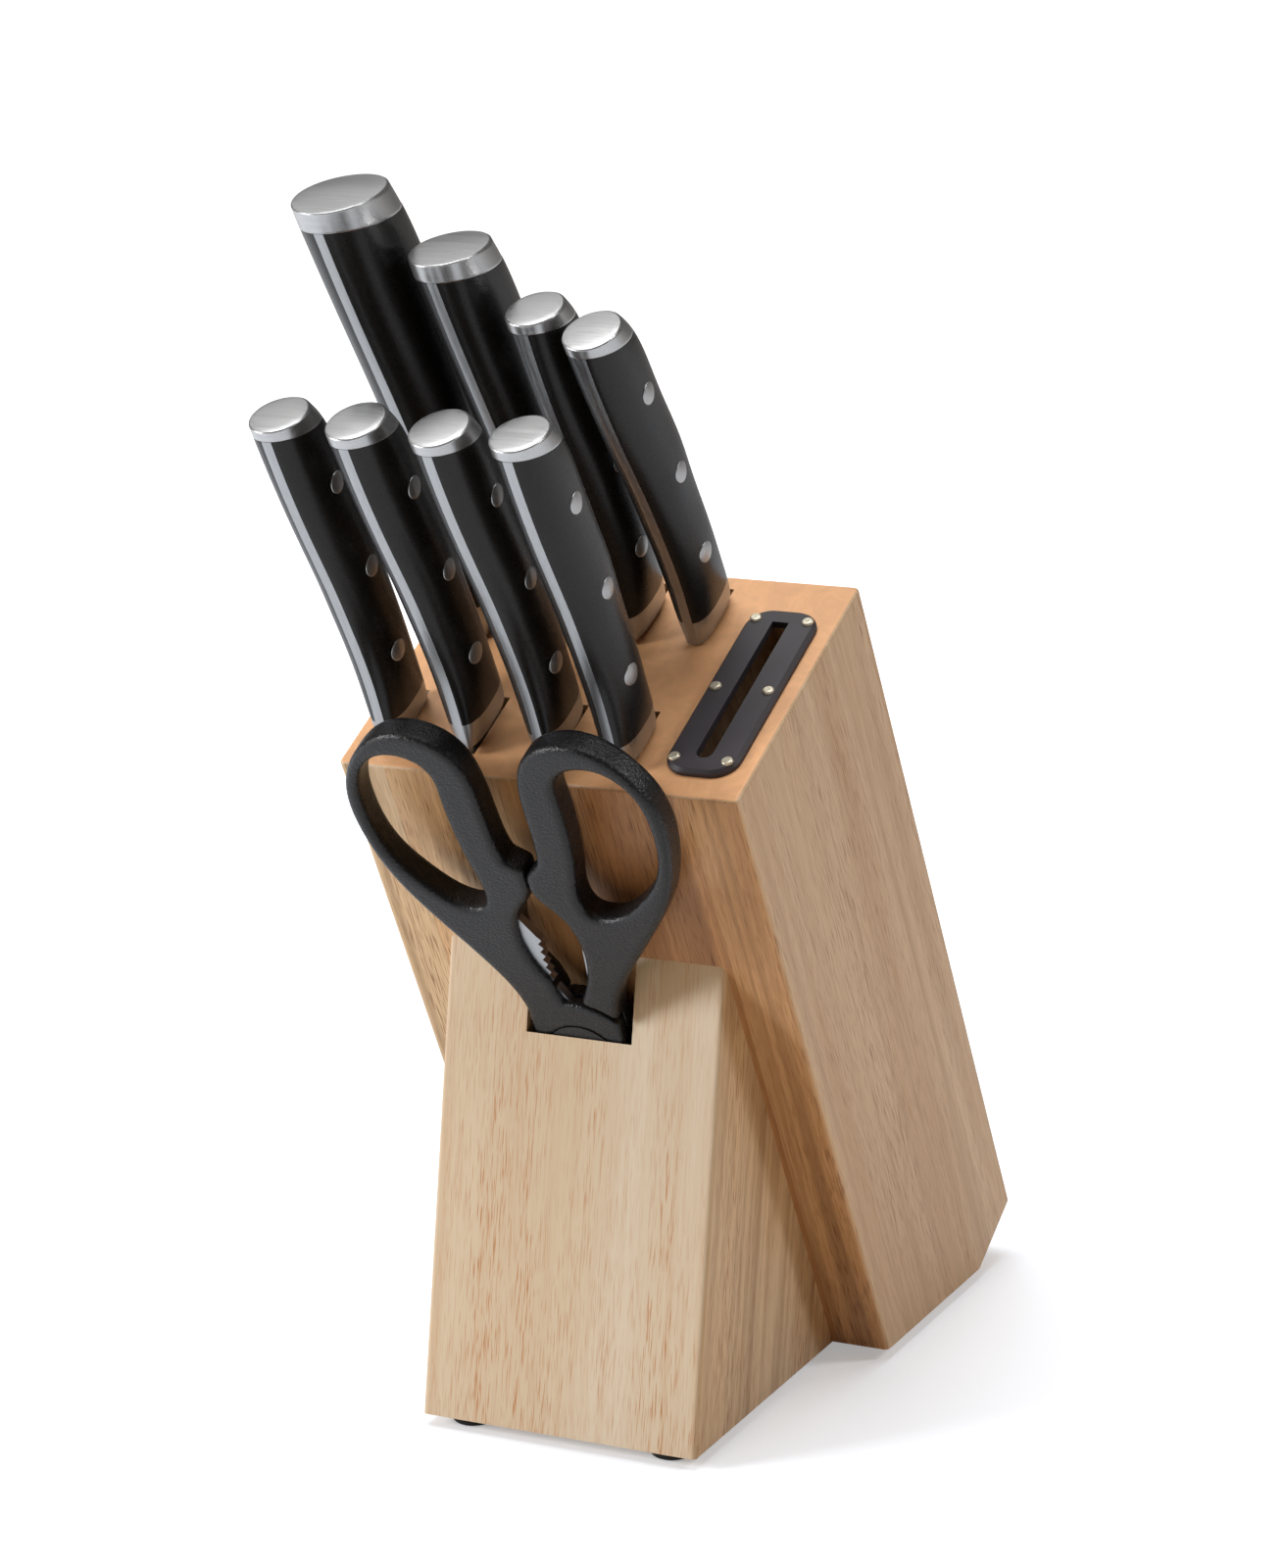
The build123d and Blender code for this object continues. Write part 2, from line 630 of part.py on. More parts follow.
def lap_room(inner_side, outer_side):
    """The space that one half leaves for the other half's cheek."""
    with BuildPart() as room:
        with BuildSketch(shears_plane(inner_side)):
            Circle(LAP_R + LAP_CLEAR)
        extrude(amount=inner_side - outer_side)
    return room.part


def shears_steel(side, inner_edge, back_depth):
    with BuildPart() as steel:
        with BuildSketch(shears_plane(back_depth)):
            with BuildLine():
                steel_outline(side, inner_edge)
            make_face()
            Circle(BOLT_R + (BOLT_CLEAR if side > 0 else 0), mode=Mode.SUBTRACT)
        extrude(amount=PLATE_STEEL_T)
    return steel


def shears_grip(side, inner_edge, steel, cover, room, recess_depth, recess_r, recess_t):
    with BuildPart() as grip:
        add(grip_blank(side, inner_edge))
        add(room, mode=Mode.SUBTRACT)
        add(cover)
        add(steel.part, mode=Mode.SUBTRACT)
        with BuildSketch(shears_plane(recess_depth)):
            Circle(recess_r)
        extrude(amount=recess_t, mode=Mode.SUBTRACT)
        with BuildSketch(shears_plane(SHEARS_N)):
            Circle(BOLT_R + NUT_CLEAR)
        extrude(amount=GRIP_T, both=True, mode=Mode.SUBTRACT)
    return grip


GRIP_FRONT = SHEARS_N - GRIP_T / 2
GRIP_BACK = SHEARS_N + GRIP_T / 2
back_tang_edge = [(4.0, 12.0), (5.4, 22.0), (6.6, 32.0), (9.8, 41.0)]
front_steel = shears_steel(-1, toothed_edge(), MID_FRONT)
back_steel = shears_steel(1, back_tang_edge, MID_BACK + PLATE_STEEL_T)
front_grip = shears_grip(
    -1, NECK_FRONT_HALF, front_steel, lap_cover(MID_FRONT, GRIP_FRONT), lap_room(GRIP_BACK, MID_FRONT),
    GRIP_FRONT + BOSS_T, BOSS_R, BOSS_T,
)
back_grip = shears_grip(
    1, NECK_BACK_HALF, back_steel, lap_cover(GRIP_BACK, MID_BACK), lap_room(MID_BACK, GRIP_FRONT),
    GRIP_BACK, NUT_R + NUT_CLEAR, NUT_T + NUT_CLEAR,
)
keep(front_steel, "shears_left_blade")
keep(front_grip, "shears_left_grip")
keep(back_steel, "shears_right_blade")
keep(back_grip, "shears_right_grip")

with BuildPart() as pivot_bolt:
    with BuildSketch(shears_plane(GRIP_FRONT + BOSS_T)):
        Circle(BOSS_R)
    extrude(amount=BOSS_T + BOSS_PROUD)
    with BuildSketch(shears_plane(GRIP_BACK)):
        Circle(BOLT_R)
    extrude(amount=GRIP_T - BOSS_T)
keep(pivot_bolt, "shears_pivot_bolt")

with BuildPart() as pivot_nut:
    with BuildSketch(shears_plane(GRIP_BACK)):
        Circle(NUT_R)
        Circle(BOLT_R, mode=Mode.SUBTRACT)
    extrude(amount=NUT_T)
keep(pivot_nut, "shears_pivot_nut")

# ---- Export ----
os.makedirs("parts", exist_ok=True)
for part in parts:
    export_step(part, f"parts/{part.label}.step")

whole = Compound(children=parts).bounding_box()
print("low", whole.min, "high", whole.max, "nodes", len(parts))
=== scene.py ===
import math

import bpy
import numpy as np
from mathutils import Matrix, Vector


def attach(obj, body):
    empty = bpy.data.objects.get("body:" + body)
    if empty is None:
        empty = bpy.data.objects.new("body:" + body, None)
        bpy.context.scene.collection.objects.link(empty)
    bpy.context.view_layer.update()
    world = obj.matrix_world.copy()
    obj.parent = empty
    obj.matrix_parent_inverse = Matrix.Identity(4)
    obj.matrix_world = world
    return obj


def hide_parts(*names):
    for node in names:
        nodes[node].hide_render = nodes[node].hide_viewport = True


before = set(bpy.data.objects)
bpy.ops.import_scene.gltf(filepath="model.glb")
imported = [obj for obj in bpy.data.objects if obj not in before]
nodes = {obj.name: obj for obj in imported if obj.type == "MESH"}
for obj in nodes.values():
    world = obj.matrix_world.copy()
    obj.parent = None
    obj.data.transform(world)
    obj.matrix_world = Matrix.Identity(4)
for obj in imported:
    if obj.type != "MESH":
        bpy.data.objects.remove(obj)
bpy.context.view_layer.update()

# ---- The block's own leaning frame, metres ----
MM = 0.001
LEAN = math.radians(26.4)
ALONG = Vector((0, -math.sin(LEAN), math.cos(LEAN)))
ACROSS = Vector((0, math.cos(LEAN), math.sin(LEAN)))
BLOCK_Y = 0.0241         # the block's front lower edge, from the frame's origin
FOOT_H = 0.0032          # and its height above the table
FRONT_LEN = 0.1893       # from that edge up to the slot face
WEDGE_TILT = math.radians(11.3)


# ---- Node helpers ----
class Shader:
    """A short way to write one material's nodes."""

    def __init__(self, name):
        self.mat = bpy.data.materials.new(name)
        self.mat.use_nodes = True
        self.tree = self.mat.node_tree
        self.tree.nodes.clear()
        self.bsdf = self.add("ShaderNodeBsdfPrincipled")
        out = self.add("ShaderNodeOutputMaterial")
        self.link(self.bsdf.outputs[0], out.inputs[0])

    def add(self, kind, **props):
        node = self.tree.nodes.new(kind)
        for key, value in props.items():
            setattr(node, key, value)
        return node

    def link(self, a, b):
        self.tree.links.new(a, b)

    def put(self, socket, value):
        """Links a socket to another node's output, or gives it a plain value."""
        if hasattr(value, "is_linked"):
            self.link(value, socket)
        else:
            socket.default_value = value

    def set(self, name, value):
        self.put(self.bsdf.inputs[name], value)

    def coords(self, rotation=(0, 0, 0), scale=(1, 1, 1), shift=(0, 0, 0)):
        """Object coordinates, turned first and then stretched."""
        tex = self.add("ShaderNodeTexCoord")
        turn = self.add("ShaderNodeMapping")
        turn.inputs["Rotation"].default_value = rotation
        self.link(tex.outputs["Object"], turn.inputs["Vector"])
        stretch = self.add("ShaderNodeMapping")
        stretch.inputs["Scale"].default_value = scale
        stretch.inputs["Location"].default_value = shift
        self.link(turn.outputs[0], stretch.inputs["Vector"])
        return stretch.outputs[0]

    def noise(self, vector, scale=1.0, detail=2.0, rough=0.5, distort=0.0):
        node = self.add("ShaderNodeTexNoise")
        self.put(node.inputs["Vector"], vector)
        node.inputs["Scale"].default_value = scale
        node.inputs["Detail"].default_value = detail
        node.inputs["Roughness"].default_value = rough
        node.inputs["Distortion"].default_value = distort
        return node.outputs[0]

    def ramp(self, value, low, high, a=0.0, b=1.0):
        """Goes from a to b while the value goes from low to high."""
        node = self.add("ShaderNodeMapRange")
        node.clamp = True
        self.put(node.inputs["Value"], value)
        node.inputs["From Min"].default_value = low
        node.inputs["From Max"].default_value = high
        node.inputs["To Min"].default_value = a
        node.inputs["To Max"].default_value = b
        return node.outputs[0]

    def math(self, operation, a, b):
        node = self.add("ShaderNodeMath", operation=operation)
        self.put(node.inputs[0], a)
        self.put(node.inputs[1], b)
        return node.outputs[0]

    def mix(self, factor, a, b, blend="MIX"):
        node = self.add("ShaderNodeMix", data_type="RGBA", blend_type=blend)
        self.put(node.inputs[0], factor)
        self.put(node.inputs[6], a if hasattr(a, "is_linked") else (*a, 1.0))
        self.put(node.inputs[7], b if hasattr(b, "is_linked") else (*b, 1.0))
        return node.outputs[2]

    def facing(self, way, low, high):
        """1 on faces that look along a direction and 0 on the others, eased between two cosines."""
        tex = self.add("ShaderNodeTexCoord")
        dot = self.add("ShaderNodeVectorMath", operation="DOT_PRODUCT")
        self.link(tex.outputs["Normal"], dot.inputs[0])
        dot.inputs[1].default_value = way
        return self.ramp(dot.outputs["Value"], low, high)

    def bump(self, height, strength, distance):
        node = self.add("ShaderNodeBump")
        node.inputs["Strength"].default_value = strength
        node.inputs["Distance"].default_value = distance
        self.link(height, node.inputs["Height"])
        self.link(node.outputs[0], self.bsdf.inputs["Normal"])


# ---- Materials ----
def scaled(colour, share):
    """A colour made lighter or darker."""
    return tuple(c * share for c in colour)


# How fast each layer of the wood's grain changes: across it, through it and along it, per metre.
GRAIN_CLOUDS = (30, 30, 2.4)
GRAIN_BANDS = (150, 150, 4.0)
GRAIN_FIBRES = (1500, 1500, 20.0)
GRAIN_PORES = (4200, 4200, 140.0)
GRAIN_CLUSTERS = (90, 90, 7.0)
GRAIN_RELIEF = 0.00010   # depth of the pores, metres


def wood(name, tilt, tones, shift, faces):
    """Pale fine-grained wood with short thin pores, its grain along a direction in the YZ plane."""
    s = Shader(name)

    def layer(stretch, detail, rough, distort):
        return s.noise(s.coords((tilt, 0, 0), stretch, shift), 1.0, detail, rough, distort)

    clouds = layer(GRAIN_CLOUDS, 3.0, 0.55, 0.6)
    bands = layer(GRAIN_BANDS, 3.0, 0.6, 1.0)
    fibres = layer(GRAIN_FIBRES, 3.0, 0.6, 0.2)
    pores = layer(GRAIN_PORES, 1.0, 0.5, 0.0)
    clusters = layer(GRAIN_CLUSTERS, 2.0, 0.5, 0.3)
    marks = s.math("MULTIPLY", s.ramp(pores, 0.54, 0.68), s.ramp(clusters, 0.34, 0.66, 0.20, 1.0))

    side = s.mix(s.ramp(clouds, 0.36, 0.64), tones["light"], tones["dark"])
    side = s.mix(s.ramp(bands, 0.44, 0.74, 0.0, 0.62), side, tones["streak"])
    side = s.mix(s.ramp(fibres, 0.40, 0.72, 0.0, 0.20), side, tones["streak"])
    side = s.mix(s.math("MULTIPLY", marks, tones["pore_share"]), side, tones["pore"])
    # Faces that look along a given way get a tint multiplied in. It is painted shade for faces that lie in
    # shadow, and on the boards' fronts it is partly their own tone too.
    for way, tint in faces:
        mottled = s.mix(s.ramp(bands, 0.36, 0.66), scaled(tint, 1.12), scaled(tint, 0.80))
        mottled = s.mix(s.math("MULTIPLY", marks, 0.8), mottled, scaled(tint, 0.5))
        side = s.mix(s.facing(way, 0.5, 0.9), side, s.mix(1.0, side, mottled, "MULTIPLY"))

    end = s.mix(s.ramp(bands, 0.35, 0.70), tones["end"], scaled(tones["end"], 0.84))
    end = s.mix(s.ramp(pores, 0.45, 0.75, 0.0, 0.30), end, scaled(tones["end"], 0.66))
    at_end = s.facing((0, math.sin(tilt), math.cos(tilt)), 0.75, 0.92)
    s.set("Base Color", s.mix(at_end, side, end))
    s.set("Roughness", s.ramp(fibres, 0.3, 0.7, 0.38, 0.50))
    s.set("Specular IOR Level", 0.42)
    s.bump(s.math("SUBTRACT", s.math("MULTIPLY", fibres, 0.3), marks), 0.08, GRAIN_RELIEF)
    return s.mat


SCRATCHES = (2600.0, 2600.0, 12.0)       # per metre, the last one along the scratches
STEEL_CLOUDS = (60, 60, 30)


def steel(name, along, tone, rough, metal, cool=1.0):
    """Brushed steel: fine scratches run along one direction. A cool value above 1 makes it bluer."""
    s = Shader(name)
    turn = Vector((0, 0, 1)).rotation_difference(along).inverted().to_euler()
    scratch = s.noise(s.coords(turn, SCRATCHES), 1.0, 2.0, 0.5)
    cloud = s.noise(s.coords(turn, STEEL_CLOUDS), 1.0, 2.0, 0.5)
    grey = (tone / cool, tone, tone * cool)
    s.set("Base Color", s.mix(s.ramp(scratch, 0.3, 0.7), scaled(grey, 0.92), scaled(grey, 1.08)))
    s.set("Metallic", metal)
    worn = s.ramp(scratch, 0.3, 0.7, rough - 0.04, rough + 0.05)
    s.set("Roughness", s.math("ADD", worn, s.ramp(cloud, 0.3, 0.7, -0.02, 0.02)))
    return s.mat


def plastic(name, colour, rough, grain_size, grain, spec):
    """Moulded plastic, rubber or stone with a fine grain."""
    s = Shader(name)
    fine = s.noise(s.coords(), 1.0 / grain_size, 2.0, 0.6)
    cloud = s.noise(s.coords(), 45.0, 2.0, 0.5)
    s.set("Base Color", s.mix(s.ramp(cloud, 0.3, 0.7), scaled(colour, 0.85), scaled(colour, 1.15)))
    s.set("Roughness", s.ramp(fine, 0.3, 0.7, rough - 0.05, rough + 0.06))
    s.set("Specular IOR Level", spec)
    s.bump(fine, grain, grain_size * 0.35)
    return s.mat


def pin_metal(name):
    """Pale brass with a soft shine."""
    s = Shader(name)
    cloud = s.noise(s.coords(), 900.0, 2.0, 0.5)
    s.set("Base Color", s.mix(s.ramp(cloud, 0.3, 0.7), (0.52, 0.47, 0.36), (0.66, 0.61, 0.48)))
    s.set("Metallic", 0.6)
    s.set("Roughness", s.ramp(cloud, 0.3, 0.7, 0.28, 0.36))
    return s.mat


def dress(node, material):
    """Gives a CAD node its material."""
    mesh = nodes[node].data
    mesh.materials.clear()
    mesh.materials.append(material)
    for polygon in mesh.polygons:
        polygon.material_index = 0


BOARD_TONES = dict(
    light=(0.69, 0.560, 0.405), dark=(0.585, 0.430, 0.275), streak=(0.40, 0.250, 0.135),
    end=(0.80, 0.43, 0.205), pore=(0.30, 0.13, 0.045), pore_share=0.85,
)
WEDGE_TONES = dict(
    light=(0.655, 0.610, 0.510), dark=(0.60, 0.515, 0.390), streak=(0.53, 0.385, 0.25),
    end=(0.86, 0.42, 0.165), pore=(0.43, 0.185, 0.06), pore_share=1.0,
)
# The boards' front faces get their own tints: partly the boards' differing tone, partly painted shade, as
# the right ones are made darker and browner where their fronts lie in shadow.
FRONT_TONES_AND_SHADE = {
    "left_cheek": (0.94, 1.03, 1.12),
    "left_slat": (0.97, 0.92, 0.85),
    "middle_slat": (0.88, 0.75, 0.62),
    "right_slat": (0.72, 0.52, 0.385),
    "sharpener_slat": (0.76, 0.58, 0.44),
    "right_cheek": (0.81, 0.68, 0.57),
}
WEDGE_SIDE_SHADE = (0.98, 0.87, 0.745)    # painted shade: the wedge's right side, which lies in shadow, is made darker and warmer than its front

for i, (board, tint) in enumerate(FRONT_TONES_AND_SHADE.items()):
    shift = (3.7 * i, 1.3 * i, 0.9 * i)      # each board is cut from another place in the wood
    dress(board, wood("wood_" + board, -LEAN, BOARD_TONES, shift, ((tuple(-ACROSS), tint),)))
wedge_shaded_side = (((1, 0, 0), WEDGE_SIDE_SHADE),)
dress("wedge_foot", wood("wood_wedge", WEDGE_TILT, WEDGE_TONES, (11.0, 4.0, 2.0), wedge_shaded_side))

along_steel = steel("steel_along", ALONG, 0.37, 0.36, 1.0, 1.012)
cap_steel = steel("steel_cap", Vector((1, 0, 0)), 0.45, 0.32, 0.95)
bright_steel = steel("steel_bright", ALONG, 0.42, 0.40, 0.9)
scale_black = plastic("scale_black", (0.008, 0.008, 0.0084), 0.31, 0.0004, 0.05, 0.29)
grip_black = plastic("grip_black", (0.007, 0.007, 0.0078), 0.31, 0.0007, 1.0, 0.34)
plate_dark = plastic("plate_dark", (0.030, 0.024, 0.030), 0.50, 0.0003, 0.15, 0.4)
rubber = plastic("foot_rubber", (0.012, 0.012, 0.012), 0.6, 0.0005, 0.3, 0.3)
stone_white = plastic("stone", (0.60, 0.58, 0.54), 0.8, 0.0003, 0.5, 0.2)
pin_gold = pin_metal("pin_gold")

for name in nodes:
    if name.endswith("_blade"):
        dress(name, along_steel)
    elif name.endswith("_end_cap"):
        dress(name, cap_steel)
    elif "_scale_" in name:
        dress(name, scale_black)
    elif name.endswith("_rivets") or name.endswith("_pins"):
        dress(name, bright_steel)
    elif name.endswith("_grip") or name == "shears_pivot_bolt":
        dress(name, grip_black)
dress("shears_pivot_nut", along_steel)
dress("foot_screws", along_steel)
dress("sharpener_plate", plate_dark)
dress("sharpener_pins", pin_gold)
dress("rubber_feet", rubber)
dress("sharpening_stones", stone_white)

# ---- Finer knife caps and rivets, millimetres ----
# Sections of a handle: height above its seat, front edge, back edge, half width.
SLIM_HANDLE = (
    (0.7, -5.4, 15.4, 3.5), (4.0, -5.2, 15.3, 4.3), (8.0, -4.9, 15.0, 5.0), (15.0, -4.5, 14.6, 5.9),
    (30.0, -4.9, 14.2, 6.7), (48.0, -6.6, 13.5, 7.0), (65.0, -9.1, 12.3, 7.1), (82.0, -11.2, 10.4, 7.2),
    (93.0, -12.0, 7.9, 7.2), (100.0, -12.2, 4.0, 6.9), (107.0, -12.0, -1.0, 6.3),
)
FULL_HANDLE = (
    (0.7, -5.6, 22.8, 5.0), (5.0, -5.4, 23.0, 6.2), (10.0, -5.1, 23.3, 7.2), (18.0, -4.7, 23.7, 8.4),
    (40.0, -4.1, 24.0, 9.6), (65.0, -6.0, 22.9, 10.0), (90.0, -9.7, 20.5, 10.2), (115.0, -13.3, 16.8, 10.5),
    (130.0, -15.0, 12.0, 10.5), (145.0, -15.5, 6.5, 10.1),
)
# The joint and rim planes: a point (across, up) and a slope in degrees. The dome is a ball's radius.
SLIM = dict(
    sections=SLIM_HANDLE, joint=(-13.0, 98.3, -16.0), rim=(-11.4, 101.0, -6.0), dome=60.0, half=6.9,
)
FULL = dict(
    sections=FULL_HANDLE, joint=(-14.3, 129.3, -19.0), rim=(-15.2, 135.57, -13.5), dome=110.0, half=10.5,
)
# Name, x, place across the block, lean in degrees, height above the slot face, handle, scale.
KNIVES = (
    ("steak_knife_1", -43.3, 11.9, 0.0, 0.4, SLIM, 1.0), ("steak_knife_2", -20.8, 11.4, 1.5, 2.6, SLIM, 1.0),
    ("steak_knife_3", 1.1, 10.7, 1.3, 2.4, SLIM, 1.0), ("steak_knife_4", 20.4, 10.4, 0.0, 0.6, SLIM, 1.0),
    ("cooks_knife", -39.5, 54.0, 0.0, 0.0, FULL, 1.0), ("slicing_knife", -17.5, 58.5, 0.0, 0.0, FULL, 0.867),
    ("utility_knife", 3.0, 57.6, 0.0, 0.7, SLIM, 1.0), ("paring_knife", 20.2, 59.6, 4.5, 0.2, SLIM, 1.0),
)
PLANE_STEPS = 12         # repeats until a wall's meeting point with a plane has settled


def at(x, across, along):
    """A point in the block's leaning frame, from millimetres."""
    return Vector((x * MM, BLOCK_Y, FOOT_H)) + ACROSS * (across * MM) + ALONG * (along * MM)


class Handle:
    """One handle's smooth surface: how wide and deep it is at each height above its seat."""

    def __init__(self, x, seat, lean, lift, shape, scale):
        turn = math.radians(lean)
        self.up = ALONG * math.cos(turn) - ACROSS * math.sin(turn)
        self.spine = self.up.cross(Vector((1, 0, 0)))
        self.origin = at(x, seat, FRONT_LEN / MM + lift)
        self.shape = shape
        self.scale = scale
        rows = np.array(shape["sections"]) * scale
        self.heights = rows[:, 0]
        self.values = rows[:, 1:]
        self.bends = self.natural_bends()

    def natural_bends(self):
        """Second derivatives of the natural cubic spline through the sections."""
        h = np.diff(self.heights)
        count = len(self.heights)
        system = np.eye(count)
        right = np.zeros((count, 3))
        for k in range(1, count - 1):
            system[k, k - 1:k + 2] = (h[k - 1], 2 * (h[k - 1] + h[k]), h[k])
            slopes = np.diff(self.values[k - 1:k + 2], axis=0) / h[k - 1:k + 1, None]
            right[k] = 6 * (slopes[1] - slopes[0])
        return np.linalg.solve(system, right)

    def section(self, w):
        """Front edge, back edge and half width at one height."""
        k = int(np.clip(np.searchsorted(self.heights, w) - 1, 0, len(self.heights) - 2))
        h = self.heights[k + 1] - self.heights[k]
        a = (self.heights[k + 1] - w) / h
        b = 1 - a
        low, high = self.bends[k], self.bends[k + 1]
        value = a * self.values[k] + b * self.values[k + 1]
        return value + ((a ** 3 - a) * low + (b ** 3 - b) * high) * h * h / 6

    def wall(self, angle, w):
        """Point (x, across, up) on the surface at an angle round the handle."""
        front, back, half = self.section(w)
        across = (front + back) / 2 + (back - front) / 2 * math.sin(angle)
        return np.array((half * math.cos(angle), across, w))

    def on_plane(self, angle, plane):
        """Where the wall meets a plane; a slope below 0 falls towards the spine."""
        across, up, slope = plane
        across, up = across * self.scale, up * self.scale
        w = up
        for _ in range(PLANE_STEPS):
            w = up + (self.wall(angle, w)[1] - across) * math.tan(math.radians(slope))
        return self.wall(angle, w)

    def flank(self, side, across, w, proud):
        """Point on the flank at one place, and a little way out of it."""
        front, back, half = self.section(w)
        ratio = (across - (front + back) / 2) / ((back - front) / 2)
        x = half * math.sqrt(max(0.0, 1 - ratio * ratio))
        out = np.array((x / half ** 2, ratio / ((back - front) / 2), 0.0))
        out /= np.linalg.norm(out)
        point = np.array((x, across, w)) + out * proud
        point[0] *= side
        return point

    def world(self, point):
        """The same point in the shared frame, metres."""
        x, across, up = (value * MM for value in point)
        return self.origin + Vector((x, 0, 0)) + self.spine * across + self.up * up


def add_piece(name, mesh, material, body, replaced):
    """A smooth mesh that takes a CAD node's place and rides on its body."""
    mesh.materials.clear()
    mesh.materials.append(material)
    mesh.polygons.foreach_set("material_index", [0] * len(mesh.polygons))
    mesh.polygons.foreach_set("use_smooth", [True] * len(mesh.polygons))
    mesh.update()
    obj = bpy.data.objects.new(name, mesh)
    bpy.context.scene.collection.objects.link(obj)
    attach(obj, body)
    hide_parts(replaced)


def skin(name, points, faces):
    """A mesh from points in the shared frame."""
    mesh = bpy.data.meshes.new(name)
    mesh.from_pydata(points, [], faces)
    return mesh


def rings_to_mesh(rings):
    """Joins rings of points into a skin closed by one point at each end."""
    count = len(rings[0])
    points = [p for ring in rings for p in ring]
    faces = []
    for k in range(len(rings) - 1):
        for i in range(count):
            j = (i + 1) % count
            faces.append((k * count + i, k * count + j, (k + 1) * count + j, (k + 1) * count + i))
    for ring, turn in ((0, -1), (len(rings) - 1, 1)):
        middle = sum(rings[ring], Vector()) / count
        points.append(middle)
        hub = len(points) - 1
        for i in range(count):
            j = (i + 1) % count
            fan = (ring * count + i, ring * count + j, hub)
            faces.append(fan[::turn])
    return points, faces


CAP_SIDES = 96
CAP_WALL_STEPS = 10
CAP_RIM_STEPS = 6
CAP_DOME_STEPS = 12
CAP_RIM_R = 0.55         # rounding of the cap's rim, mm
CAP_EASE = 0.12          # easing where the cap meets the scales, mm
CAP_MIDDLE = 1.05        # the dome's middle, this many half widths behind the rim plane's point


def cap_mesh(handle):
    """An end cap: eased lower edge, the handle's wall, rounded rim and domed end."""
    angles = [2 * math.pi * i / CAP_SIDES for i in range(CAP_SIDES)]
    joint, rim = handle.shape["joint"], handle.shape["rim"]
    low = [handle.on_plane(a, joint) for a in angles]
    flat = [handle.on_plane(a, rim) for a in angles]
    centre_low = sum(low) / CAP_SIDES
    size = handle.shape["half"] * handle.scale
    slope = math.radians(rim[2])
    normal = np.array((0.0, -math.sin(slope), math.cos(slope)))
    middle = np.array((0.0, rim[0], rim[1])) * handle.scale
    middle += np.array((0.0, math.cos(slope), math.sin(slope))) * (size * CAP_MIDDLE)
    dome = handle.shape["dome"] * handle.scale
    depth = math.sqrt(dome ** 2 - size ** 2)

    def rise(point):
        """The dome's height above the rim plane: 0 at the half width and less than 0 outside it."""
        return math.sqrt(dome ** 2 - float(np.dot(point - middle, point - middle))) - depth

    high = [handle.wall(a, p[2] + rise(p)) for a, p in zip(angles, flat)]
    rings = [[handle.world(p + (centre_low - p) * (CAP_EASE / size)) for p in low]]
    for k in range(CAP_WALL_STEPS + 1):
        share = k / CAP_WALL_STEPS
        ring = []
        for a, p, q in zip(angles, low, high):
            w = (p[2] + CAP_EASE) * (1 - share) + (q[2] - CAP_RIM_R) * share
            ring.append(handle.world(handle.wall(a, w)))
        rings.append(ring)
    for k in range(1, CAP_RIM_STEPS + 1):
        turn = math.pi / 2 * k / CAP_RIM_STEPS
        inset = CAP_RIM_R * (1 - math.cos(turn)) / size
        drop = np.array((0, 0, CAP_RIM_R * (1 - math.sin(turn))))
        rings.append([handle.world(q + (middle - q) * inset - drop) for q in high])
    for k in range(1, CAP_DOME_STEPS):
        reach = (1 - CAP_RIM_R / size) * (1 - k / CAP_DOME_STEPS)
        inner = [middle + (p - middle) * reach for p in flat]
        rings.append([handle.world(p + normal * rise(p)) for p in inner])
    return rings_to_mesh(rings)


RIVET_SIDES = 40
RIVET_R = 2.8
RIVET_SPOTS = ((3.2, 24.6), (2.9, 50.9), (-0.1, 78.1))      # across and up, from the seat
RIVET_ROOT = -1.5        # where the shank ends below the scale's surface, mm
RIVET_EDGE = 0.12        # how far the head's edge stands out of the scale, mm
RIVET_CROWN = 0.30       # how far its middle stands out above the edge, mm
# Each ring's share of the radius, and its height above the scale.
RIVET_PROFILE = ((1.0, RIVET_ROOT), (1.0, 0.0), (0.985, RIVET_EDGE)) + tuple(
    (r / 10, RIVET_EDGE + RIVET_CROWN * (1 - (r / 10) ** 2)) for r in range(9, 0, -1))


def rivet_mesh(handle):
    """Three rivet heads on each side, lying on the handle's flanks."""
    points, faces = [], []
    for side in (-1, 1):
        for across, up in RIVET_SPOTS:
            rings = []
            for reach, proud in RIVET_PROFILE:
                ring = []
                for i in range(RIVET_SIDES):
                    a = 2 * math.pi * i / RIVET_SIDES
                    v = across + RIVET_R * reach * math.cos(a)
                    w = up + RIVET_R * reach * math.sin(a)
                    ring.append(handle.world(handle.flank(side, v, w, proud)))
                rings.append(ring if side > 0 else ring[::-1])
            some, more = rings_to_mesh(rings)
            faces += [tuple(i + len(points) for i in f) for f in more]
            points += some
    return points, faces


for name, x, seat, lean, lift, shape, scale in KNIVES:
    handle = Handle(x, seat, lean, lift, shape, scale)
    shell = skin(name + "_cap_shell", *cap_mesh(handle))
    add_piece(shell.name, shell, cap_steel, name, name + "_end_cap")
    if shape is SLIM:
        heads = skin(name + "_rivet_heads", *rivet_mesh(handle))
        add_piece(heads.name, heads, bright_steel, name, name + "_rivets")

# ---- Rounder shears grips ----
GRIP_VOXEL = 0.0004
GRIP_ROUNDS = 26         # passes of smoothing
GRIP_SWELL = 0.00012     # makes up for what smoothing takes off


